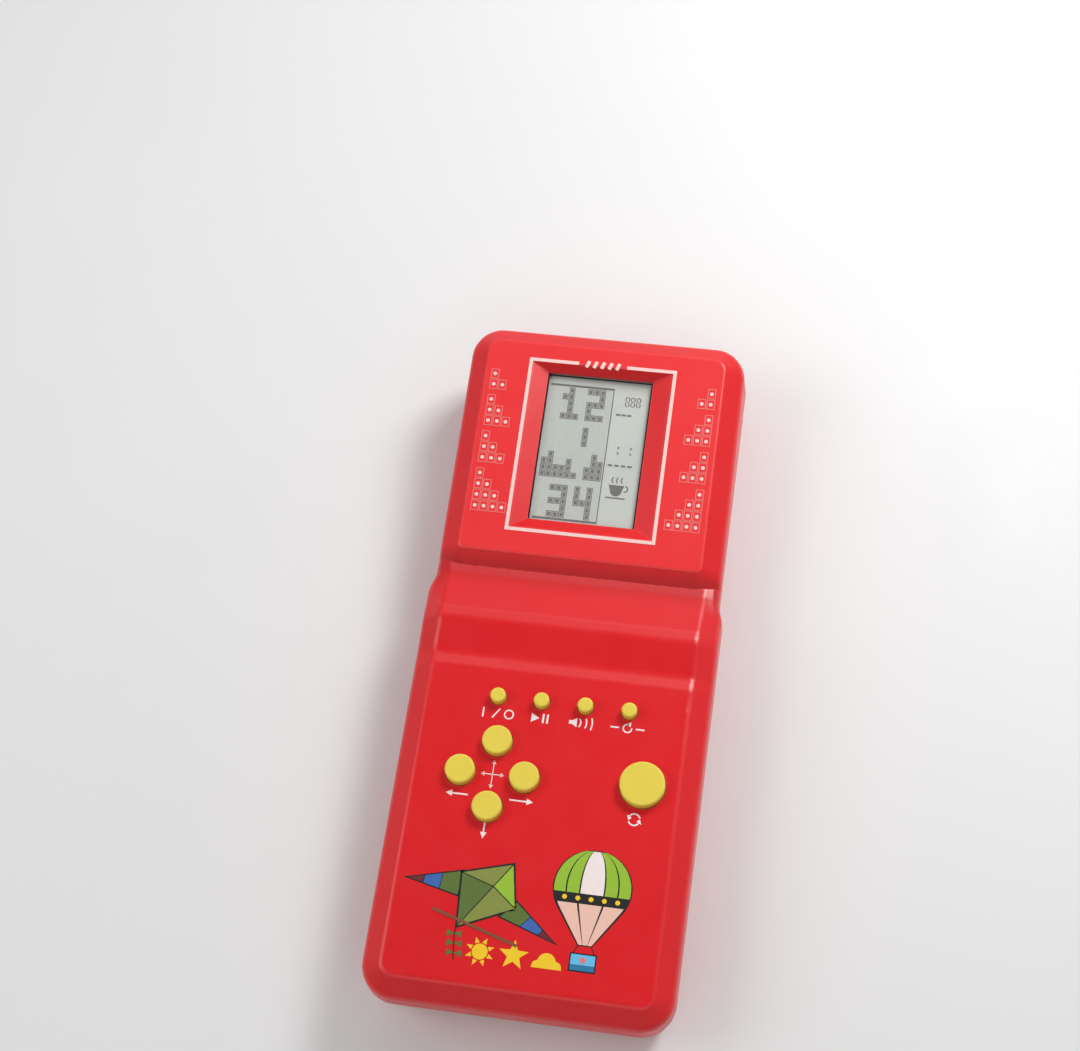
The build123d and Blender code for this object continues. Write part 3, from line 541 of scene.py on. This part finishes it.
inks = {
    "white": ink("white_ink", (0.88, 0.76, 0.74)),
    "pink": ink("pink_ink", (0.88, 0.60, 0.56)),
    "faint": ink("faint_ink", (0.83, 0.17, 0.15)),
    "black": ink("black_ink", (0.014, 0.013, 0.013)),
    "green": ink("green_ink", (0.30, 0.50, 0.035)),
    "moss": ink("moss_ink", (0.105, 0.165, 0.035)),
    "olive": ink("olive_ink", (0.23, 0.27, 0.055)),
    "blue": ink("blue_ink", (0.045, 0.13, 0.42)),
    "sky": ink("sky_ink", (0.13, 0.50, 0.78)),
    "sea": ink("sea_ink", (0.022, 0.19, 0.38)),
    "maroon": ink("maroon_ink", (0.15, 0.020, 0.026)),
    "brown": ink("brown_ink", (0.22, 0.075, 0.035)),
    "blush": ink("blush_ink", (0.84, 0.52, 0.42)),
    "yellow": ink("yellow_ink", (0.88, 0.58, 0.022)),
    "segment": ink("lcd_segment", (0.205, 0.190, 0.195), 0.35),
    "ghost": ink("lcd_ghost", (0.640, 0.690, 0.630), 0.4),
}


def bar(p, q, width):
    """Straight stroke from p to q."""
    a, b = Vector(p), Vector(q)
    side = (b - a).normalized().orthogonal() * width / 2
    return [a + side, a - side, b - side, b + side]


def path(points, width):
    """Row of straight strokes through the points."""
    return [bar(p, q, width) for p, q in zip(points, points[1:])]


def box2(x, y, width, height):
    """Rectangle by its centre and size."""
    corners = ((-1, -1), (1, -1), (1, 1), (-1, 1))
    return [Vector((x + sx * width / 2, y + sy * height / 2)) for sx, sy in corners]


def frame2(x, y, width, height, line):
    """Four strokes of a rectangular frame, none on top of another."""
    return [
        box2(x - (width - line) / 2, y, line, height),
        box2(x + (width - line) / 2, y, line, height),
        box2(x, y - (height - line) / 2, width - 2 * line, line),
        box2(x, y + (height - line) / 2, width - 2 * line, line),
    ]


def on_circle(x, y, radius, degrees):
    """Point on a circle at an angle in degrees."""
    angle = math.radians(degrees)
    return Vector((x + radius * math.cos(angle), y + radius * math.sin(angle)))


def disc2(x, y, radius, sides=28):
    """Filled circle."""
    return [on_circle(x, y, radius, i * 360 / sides) for i in range(sides)]


def arc2(x, y, radius, width, start, end, steps=20):
    """Bent stroke as quadrilaterals; angles in degrees."""
    turns = [start + (end - start) * i / steps for i in range(steps + 1)]
    inner = [on_circle(x, y, radius - width / 2, a) for a in turns]
    outer = [on_circle(x, y, radius + width / 2, a) for a in turns]
    return [[inner[i], outer[i], outer[i + 1], inner[i + 1]] for i in range(steps)]


def star2(x, y, radius, points=5, waist=0.42, turn=90.0):
    """Filled star."""
    step = 180 / points
    return [on_circle(x, y, radius * (waist if i % 2 else 1), turn + i * step) for i in range(2 * points)]


def arrow2(x, y, length, degrees, width=0.42, head=1.7):
    """Arrow centred on x, y: a shaft and a triangular head."""
    along = on_circle(0, 0, 1, degrees)
    across = along.orthogonal()
    centre2 = Vector((x, y))
    tip = centre2 + along * length / 2
    neck = tip - along * head
    shaft = bar(centre2 - along * length / 2, neck, width)
    return [shaft, [tip, neck + across * head / 2, neck - across * head / 2]]


def counter_clockwise(shape):
    """The same outline, turned so that its face looks out of the surface."""
    doubled = sum(a.x * b.y - b.x * a.y for a, b in zip(shape, shape[1:] + shape[:1]))
    return shape if doubled > 0 else shape[::-1]


def grown(shape, margin):
    """Convex outline moved outwards by a margin."""
    shape = counter_clockwise([Vector(p) for p in shape])
    count = len(shape)
    result = []
    for i, corner in enumerate(shape):
        before = (corner - shape[i - 1]).normalized()
        after = (shape[(i + 1) % count] - corner).normalized()
        out_before = Vector((before.y, -before.x))
        out = (out_before + Vector((after.y, -after.x))).normalized()
        result.append(corner + out * margin / max(0.35, out.dot(out_before)))
    return result


def printed(name, surface, shapes, material, layer=0):
    """Thin raised layer on a flat face, made of closed outlines given in millimetres."""
    bm = bmesh.new()
    for shape in shapes:
        shape = counter_clockwise([Vector(p) for p in shape])
        base = [bm.verts.new(surface.at(p.x * MM, p.y * MM, layer * INK)) for p in shape]
        top = [bm.verts.new(surface.at(p.x * MM, p.y * MM, (layer + 1) * INK)) for p in shape]
        bm.faces.new(top)
        bm.faces.new(base[::-1])
        for i in range(len(base)):
            j = (i + 1) % len(base)
            bm.faces.new((base[i], base[j], top[j], top[i]))
    bmesh.ops.triangulate(bm, faces=[f for f in bm.faces if len(f.verts) > 4])
    mesh = bpy.data.meshes.new(name)
    bm.to_mesh(mesh)
    bm.free()
    mesh.materials.append(material)
    piece = bpy.data.objects.new(name, mesh)
    bpy.context.scene.collection.objects.link(piece)
    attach(piece, "root")


def on_case(name, surface, shapes, colour, layer=0):
    """Prints shapes on a face of the case."""
    printed(name, surface, shapes, inks[colour], layer)


# ---------------------------------------------------------------- prints on the screen panel
def screen_frame():
    """Pale frame round the screen; five slanted bars stand in the gap of its upper side."""
    low, high = box_mm("window_lens")
    left, right = low.x - 3.5, high.x + 4.5
    low_y, high_y = low.y - 3.1, high.y + 0.7
    line = 0.95
    half_gap = 6.7
    middle_x = (left + right) / 2
    gap_left, gap_right = middle_x - half_gap, middle_x + half_gap
    top = high_y - line / 2
    bottom = low_y + line / 2
    strokes = [
        bar((left + line / 2, low_y), (left + line / 2, high_y), line),
        bar((right - line / 2, low_y), (right - line / 2, high_y), line),
        bar((left + line, bottom), (right - line, bottom), line),
        bar((left + line, top), (gap_left, top), line),
        bar((gap_right, top), (right - line, top), line),
    ]
    slant, half_height, pitch = 0.35, 0.95, 2.1
    for i in range(-2, 3):
        place = middle_x + i * pitch
        strokes.append(bar((place - slant, top - half_height), (place + slant, top + half_height), line))
    on_case("screen_frame_print", panel, strokes, "pink")


CELL_X, CELL_Y = 2.45, 3.12  # pitch of the cells
CELL_GAP, CELL_LINE, DOT_RADIUS = 0.16, 0.26, 0.52
FLIGHTS = (2, 3, 3, 4)  # steps in each flight of stairs, from the top
FLIGHT_GAP = 1.4
PATTERN_EDGE = 3.5  # from the panel's side to the middle of the outermost cells
PATTERN_TOP = 9.8  # from the panel's far end to the middle of the first row


def stair_rows():
    """Place along Y and number of cells of each row: flights of stairs, one below the other."""
    y = panel.high.y - PATTERN_TOP
    rows = []
    for steps in FLIGHTS:
        for count in range(1, steps + 1):
            rows.append((y, count))
            y -= CELL_Y
        y -= FLIGHT_GAP
    return rows


def dotted_cells(name, edge, direction):
    """Stairs of outlined cells with a dot in each, built inwards from the panel's edge."""
    outlines = []
    dots = []
    for y, count in stair_rows():
        for i in range(count):
            x = edge + direction * i * CELL_X
            dots.append(disc2(x, y, DOT_RADIUS, 16))
            outlines += frame2(x, y, CELL_X - CELL_GAP, CELL_Y - CELL_GAP, CELL_LINE)
    on_case(name + "_outlines", panel, outlines, "faint")
    on_case(name + "_dots", panel, dots, "pink")


def window_gap_shadow():
    """Dark line on the clear window, just inside the opening of the case: painted shadow of the gap
    between the case and the display.
    """
    low, high = box_mm("window_lens")
    side_inset, low_inset, high_inset = 1.9, 1.52, 2.12
    width = high.x - low.x - 2 * side_inset
    low_y, high_y = low.y + low_inset, high.y - high_inset
    line = 0.42
    shapes = frame2((low.x + high.x) / 2, (low_y + high_y) / 2, width, high_y - low_y, line)
    printed("window_gap_painted_shadow", window, shapes, inks["black"])


screen_frame()
dotted_cells("left_pattern", panel.low.x + PATTERN_EDGE, 1)
dotted_cells("right_pattern", panel.high.x - PATTERN_EDGE, -1)


# ---------------------------------------------------------------- display
display_low, display_high = box_mm("lcd_front_polariser")
COLUMNS, ROWS = 10, 20
FIELD_LEFT = display_low.x + 2.4
FIELD_RIGHT = FIELD_LEFT + 17.2
FIELD_LOW = display_low.y + 1.9
FIELD_HIGH = display_high.y - 3.67
STEP_X = (FIELD_RIGHT - FIELD_LEFT) / COLUMNS
STEP_Y = (FIELD_HIGH - FIELD_LOW) / ROWS
FIGURES = {  # cells of each figure, row by row from the top
    1: (".#.", "##.", ".#.", ".#.", "###"),
    2: ("###", "..#", "###", "#..", "###"),
    3: ("###", "..#", "###", "..#", "###"),
    4: ("#.#", "#.#", "###", "..#", "..#"),
}
UPPER_ROW, LOWER_ROW = 0, 15  # first rows of the two numbers
TENS, UNITS = 2, 6  # first columns of their figures
HEAP = (3, 4, 2, 2, 3, 1, 0, 2, 4, 3)  # height of the heap in each column
HEAP_FOOT = 13
LOOSE_BAR = {(6, 6), (6, 7), (6, 8)}  # column and row of each of its cells


def figure_cells(figure, column, row):
    """Cells of a plain figure, three wide and five high, from its upper left cell."""
    marks = enumerate(FIGURES[figure])
    return {(column + i, row + j) for j, line in marks for i, mark in enumerate(line) if mark == "#"}


def lit_cells():
    """Lit cells of the field: two plain numbers, a heap of blocks and one bar above it."""
    lit = figure_cells(1, TENS, UPPER_ROW) | figure_cells(2, UNITS, UPPER_ROW)
    lit |= figure_cells(3, TENS, LOWER_ROW) | figure_cells(4, UNITS, LOWER_ROW)
    for column, height in enumerate(HEAP):
        lit |= {(column, HEAP_FOOT - step) for step in range(height)}
    return lit | LOOSE_BAR


def on_display(name, shapes, colour):
    """Prints shapes on the front of the display."""
    printed(name, display, shapes, inks[colour])


def block_cell(column, row):
    """One picture cell: a thin square with a filled square in it."""
    x = FIELD_LEFT + (column + 0.5) * STEP_X
    y = FIELD_HIGH - (row + 0.5) * STEP_Y
    gap, line, inset = 0.12, 0.24, 0.36
    width = STEP_X - gap
    height = STEP_Y - gap
    return frame2(x, y, width, height, line) + [box2(x, y, width - 2 * inset, height - 2 * inset)]


def play_field():
    """Picture cells, dark where they are lit, in a ruled field."""
    lit = []
    unlit = []
    chosen = lit_cells()
    for row in range(ROWS):
        for column in range(COLUMNS):
            (lit if (column, row) in chosen else unlit).extend(block_cell(column, row))
    on_display("lcd_lit_cells", lit, "segment")
    on_display("lcd_unlit_cells", unlit, "ghost")
    side_line, end_line, end_gap = 0.3, 0.6, 0.42
    edge = FIELD_RIGHT + 0.35
    middle_x = (FIELD_LEFT + edge) / 2
    across = edge - FIELD_LEFT + side_line
    rules = [
        box2(edge, (FIELD_LOW + FIELD_HIGH) / 2, side_line, FIELD_HIGH - FIELD_LOW),
        box2(middle_x, FIELD_HIGH + end_gap, across, end_line),
        box2(middle_x, FIELD_LOW - end_gap, across, end_line),
    ]
    on_display("lcd_field_rules", rules, "segment")


def seven_segments(x, y, width, height, line):
    """Figure eight of seven bars."""
    strokes = [box2(x, y + k * (height - line) / 2, width - 2.4 * line, line) for k in (-1, 0, 1)]
    for sx in (-1, 1):
        for sy in (-1, 1):
            place = (x + sx * (width - line) / 2, y + sy * height / 4)
            strokes.append(box2(*place, line, height / 2 - 1.2 * line))
    return strokes


def cup_symbol(x, y):
    """Cup with a handle and three wisps of steam, over a saucer."""
    bowl = [Vector((x + 2.2, y + 1.6)), Vector((x - 2.2, y + 1.6))]
    shapes = [bowl + [on_circle(x, y, 1.6, -180 + i * 20) for i in range(10)]]
    shapes += arc2(x + 2.3, y + 0.7, 0.85, 0.38, -100, 80, 10)
    shapes.append(box2(x, y - 2.1, 5.4, 0.42))
    for lean in (-1.1, 0.15, 1.4):
        steam = [(x + lean, y + 2.2), (x + lean - 0.35, y + 3.05), (x + lean, y + 3.9)]
        shapes += path(steam, 0.34)
    return shapes


def side_marks():
    """Counters, short rules, dots and a cup beside the field, at distances below its top."""
    strokes = []
    x = FIELD_RIGHT + 4.5
    top = FIELD_HIGH
    for i in range(3):
        strokes += seven_segments(x - 0.1 + i * 1.55, top - 2.8, 1.25, 2.9, 0.30)
    for drop, first, step, count in ((6.8, -2.15, 1.5, 3), (21.6, -2.55, 1.8, 4)):
        strokes += [box2(x + first + i * step, top - drop, 1.25, 0.55) for i in range(count)]
    for dot_x in (x - 0.9, x + 2.6):
        strokes += [box2(dot_x, top - drop, 0.45, 0.6) for drop in (16.4, 18.0)]
    strokes += cup_symbol(x, top - 28.8)
    on_display("lcd_side_marks", strokes, "segment")


play_field()
side_marks()
window_gap_shadow()


# ---------------------------------------------------------------- key symbols on the deck
def power_symbol(x, y):
    """Bar, slash and ring, the usual signs for on and off."""
    shapes = arc2(x + 3.4, y, 1.15, 0.36, 0, 360, 24)
    shapes.append(bar((x - 3.4, y - 1.3), (x - 3.4, y + 1.3), 0.4))
    shapes.append(bar((x - 0.9, y - 1.3), (x + 0.9, y + 1.3), 0.36))
    return shapes


def play_symbol(x, y):
    """Triangle and two bars."""
    triangle = [(x - 2.2, y - 1.25), (x - 0.1, y), (x - 2.2, y + 1.25)]
    return [triangle, box2(x + 0.95, y, 0.5, 2.5), box2(x + 2.05, y, 0.5, 2.5)]


def sound_symbol(x, y):
    """Loudspeaker with three waves."""
    horn = [(x - 3.8, y - 0.5), (x - 2.9, y - 0.5), (x - 1.7, y - 1.3)]
    horn += [(x - 1.7, y + 1.3), (x - 2.9, y + 0.5), (x - 3.8, y + 0.5)]
    waves = arc2(x - 2.4, y, 1.7, 0.36, -42, 42, 10)
    waves += arc2(x - 2.4, y, 3.2, 0.36, -24, 24, 10)
    waves += arc2(x - 2.4, y, 4.7, 0.36, -20, 20, 10)
    return [horn] + waves


def reset_symbol(x, y):
    """Open ring with an arrow head, between two short bars."""
    ring = arc2(x, y, 1.1, 0.36, 70, 370, 20)
    head = [(x - 0.3, y + 1.1), (x + 0.8, y + 1.75), (x + 0.8, y + 0.45)]
    return ring + [head, box2(x - 3.3, y, 2.3, 0.4), box2(x + 3.3, y, 2.3, 0.4)]


def rotate_symbol(x, y):
    """Two arrows chasing each other round a circle."""
    shapes = []
    for side in (0, 180):
        shapes += arc2(x, y, 1.5, 0.4, side + 20, side + 150, 14)
        tip = on_circle(x, y, 1.5, side + 190)
        shapes.append([tip, on_circle(x, y, 0.75, side + 150), on_circle(x, y, 2.25, side + 150)])
    return shapes


def cross_symbol(x, y):
    """Thin cross with an open arrow head at each end."""
    shapes = []
    for turn, reach in ((0, 2.9), (90, 3.6), (180, 2.9), (270, 3.6)):
        tip = on_circle(x, y, reach, turn)
        shapes.append(bar(on_circle(x, y, 0.12, turn), tip, 0.22))
        for side in (-1, 1):
            back = on_circle(tip.x, tip.y, 0.95, turn + 180 + side * 32)
            shapes.append(bar(on_circle(tip.x, tip.y, 0.16, turn + side * 70), back, 0.2))
    return shapes


SYMBOL_DROP = 4.4  # from the middle of a small key to the middle of its symbol
ARROW_DROP = 6.1  # from the middle of a direction key to the middle of its arrow


def deck_symbols():
    """A symbol under every key except the upper one, and a cross between the direction keys."""
    symbols = []
    small = {"power": power_symbol, "start": play_symbol, "sound": sound_symbol, "reset": reset_symbol}
    for name, draw in small.items():
        place = middle_of("key_" + name)
        symbols += draw(place.x, place.y - SYMBOL_DROP)
    for name, length, turn in (("left", 5.8, 180), ("right", 6.2, 0), ("down", 4.2, 270)):
        place = middle_of("key_" + name)
        symbols += arrow2(place.x, place.y - ARROW_DROP, length, turn)
    place = middle_of("key_rotate")
    symbols += rotate_symbol(place.x - 1.0, place.y - 9.0)
    symbols += cross_symbol(*middle_of("key_up", "key_down", "key_left", "key_right"))
    on_case("key_symbols", deck, symbols, "white")


deck_symbols()


# ---------------------------------------------------------------- pictures on the deck
PICTURE_FOOT = deck.low.y + 5.5  # the pictures stand on this line
BALLOON_X = deck.high.x - 17.6
BALLOON_TOP = PICTURE_FOOT + 31.1
BALLOON_BAND = PICTURE_FOOT + 19.8
BALLOON_MOUTH = PICTURE_FOOT + 7.0


def balloon_half_width(y):
    """Half width of the balloon's envelope at a height: a ball above, straight sides below."""
    ball_radius, mouth_half = 9.7, 1.7
    joint = 0.55  # where the sides leave the ball, in radii below its middle
    ball_y = BALLOON_TOP - ball_radius
    joint_y = ball_y - joint * ball_radius
    joint_half = math.sqrt(1 - joint**2) * ball_radius
    if y >= joint_y:
        return math.sqrt(max(0.0, ball_radius**2 - (y - ball_y) ** 2))
    return joint_half + (y - joint_y) / (BALLOON_MOUTH - joint_y) * (mouth_half - joint_half)


def gore(low, high, start, end, grow=0.0):
    """Envelope between two heights and two fractions of its half width, as four-sided strips."""
    steps = 22
    heights = [high - (high - low) * (1 - i / steps) ** 2 for i in range(steps)]
    heights.append(high - 0.02)
    halves = [balloon_half_width(y) + grow for y in heights]
    left = [Vector((BALLOON_X + start * w, y)) for w, y in zip(halves, heights)]
    right = [Vector((BALLOON_X + end * w, y)) for w, y in zip(halves, heights)]
    return [[left[i], right[i], right[i + 1], left[i + 1]] for i in range(steps)]


def balloon():
    """Hot-air balloon: green and white gores, a dark band, a pale lower part and a blue basket."""
    on_case("balloon_outline", deck, gore(BALLOON_MOUTH - 0.3, BALLOON_TOP, -1, 1, 0.35), "black")
    crown_y = BALLOON_TOP - 0.3
    greens = []
    for start, end in ((-1, -0.70), (-0.66, -0.34), (0.34, 0.66), (0.70, 1)):
        greens += gore(BALLOON_BAND, crown_y, start, end)
    on_case("balloon_green_gores", deck, greens, "green", 1)
    on_case("balloon_white_gore", deck, gore(BALLOON_BAND, crown_y, -0.30, 0.30), "white", 1)
    low = BALLOON_BAND - 2.6
    pale = []
    for start, end in ((-0.96, -0.39), (-0.33, 0.33), (0.39, 0.96)):
        pale += gore(BALLOON_MOUTH, low, start, end)
    on_case("balloon_lower_gores", deck, pale, "blush", 1)
    discs = []
    for fraction in (-0.8, -0.4, 0.0, 0.4, 0.8):
        discs.append(disc2(BALLOON_X + fraction * 8.4, BALLOON_BAND - 1.25, 0.62, 16))
    on_case("balloon_band_discs", deck, discs, "yellow", 1)
    ropes = []
    for side in (-1, 1):
        rope_top = (BALLOON_X + side * 1.7, BALLOON_MOUTH - 0.3)
        rope_foot = (BALLOON_X + side * 2.7, BALLOON_MOUTH - 2.2)
        ropes.append(bar(rope_top, rope_foot, 0.26))
    rim = box2(BALLOON_X, PICTURE_FOOT + 2.6, 6.8, 4.7)
    on_case("balloon_basket_outline", deck, ropes + [rim], "black")
    on_case("balloon_basket", deck, [box2(BALLOON_X, PICTURE_FOOT + 3.3, 6.1, 2.6)], "sky", 1)
    on_case("balloon_basket_foot", deck, [box2(BALLOON_X, PICTURE_FOOT + 1.25, 6.1, 1.3)], "sea", 1)
    on_case("balloon_star", deck, [star2(BALLOON_X, PICTURE_FOOT + 3.25, 1.2)], "faint", 2)


def pennant(at, root_a, root_b, tip, splits):
    """Tapering streamer cut across at the given fractions; returns its pieces from root to tip."""
    a, b, tip = at + Vector(root_a), at + Vector(root_b), at + Vector(tip)
    cuts = [0.0, *splits, 1.0]
    pieces = []
    for start, end in zip(cuts, cuts[1:]):
        corners = [a.lerp(tip, start), a.lerp(tip, end), b.lerp(tip, end), b.lerp(tip, start)]
        pieces.append(corners[:2] + corners[3:] if end == 1.0 else corners)
    return pieces


def kite():
    """Four-sided kite on a slant, with two streamers, a spar and a tail of bows."""
    at = Vector((deck.low.x + 24.0, PICTURE_FOOT + 19.0))
    head, foot = at + Vector((4.9, 6.0)), at + Vector((-7.1, -11.4))
    left, right = at + Vector((-7.9, 2.4)), at + Vector((6.9, -5.2))
    hub = head.lerp(foot, 0.36)
    streamers = (
        pennant(at, (-7.5, 2.8), (-8.1, -3.6), (-21.7, -0.6), (0.36, 0.68)),
        pennant(at, (7.1, -3.4), (3.3, -7.6), (18.1, -12.6), (0.36, 0.68)),
    )
    on_case("kite_outline", deck, [grown([head, left, foot, right], 0.35)], "black", 1)
    for number, run in enumerate(streamers, 1):
        whole = grown([run[0][0], run[-1][1], run[0][-1]], 0.3)
        on_case(f"streamer_outline_{number}", deck, [whole], "black")
    for colour, index in (("moss", 0), ("blue", 1), ("maroon", 2)):
        pieces = [grown(run[index], -0.10) for run in streamers]
        on_case(f"streamers_{colour}", deck, pieces, colour, 1)
    facets = (("olive", head, left), ("moss", left, foot), ("olive", foot, right), ("green", right, head))
    for number, (colour, a, b) in enumerate(facets, 1):
        on_case(f"kite_facet_{number}", deck, [grown([hub, a, b], -0.14)], colour, 2)
    spar = bar(at + Vector((-13.9, -7.6)), at + Vector((8.7, -14.4)), 0.75)
    on_case("kite_spar", deck, [spar], "brown", 3)
    knot = at + Vector((-7.4, -13.2))
    on_case("kite_tail_string", deck, path([foot, knot, knot + Vector((0.7, -6.4))], 0.3), "black")
    bows = []
    for i in range(3):
        tie = knot + Vector((0.35, -2.4)) * i
        for side in (-1.9, 1.9):
            bows.append([tie + Vector((side, 0.9)), tie, tie + Vector((side, -0.9))])
    on_case("kite_tail_bows", deck, bows, "moss", 1)


def cloud2(x, y, puffs):
    """Cloud outline over a flat base; each puff is a place along x, a height and a radius."""
    start = min(px - r for px, _, r in puffs)
    end = max(px + r for px, _, r in puffs)
    steps = 36
    top = []
    for i in range(1, steps):
        place = start + (end - start) * i / steps
        heights = [h + math.sqrt(r * r - (place - px) ** 2) for px, h, r in puffs if abs(place - px) < r]
        top.append(Vector((x + place, y + max(heights + [0.15]))))
    return [Vector((x + start, y)), *top, Vector((x + end, y))]


def yellow_row():
    """Sun, star and cloud in a row under the kite, beside the balloon's basket."""
    sun_x = BALLOON_X - 25.8
    sun_y = PICTURE_FOOT + 2.1
    shapes = [disc2(sun_x, sun_y, 2.0)]
    for i in range(8):
        turn = i * 45 + 22.5
        tip = on_circle(sun_x, sun_y, 3.8, turn)
        roots = [on_circle(sun_x, sun_y, 2.35, turn + side) for side in (15, -15)]
        shapes.append([tip, *roots])
    shapes.append(star2(BALLOON_X - 17.3, PICTURE_FOOT + 2.3, 3.9))
    puffs = ((-2.2, 0.4, 1.5), (0.0, 1.6, 2.3), (2.3, 0.4, 1.6))
    shapes.append(cloud2(BALLOON_X - 8.9, PICTURE_FOOT, puffs))
    on_case("yellow_shapes", deck, shapes, "yellow")


balloon()
kite()
yellow_row()
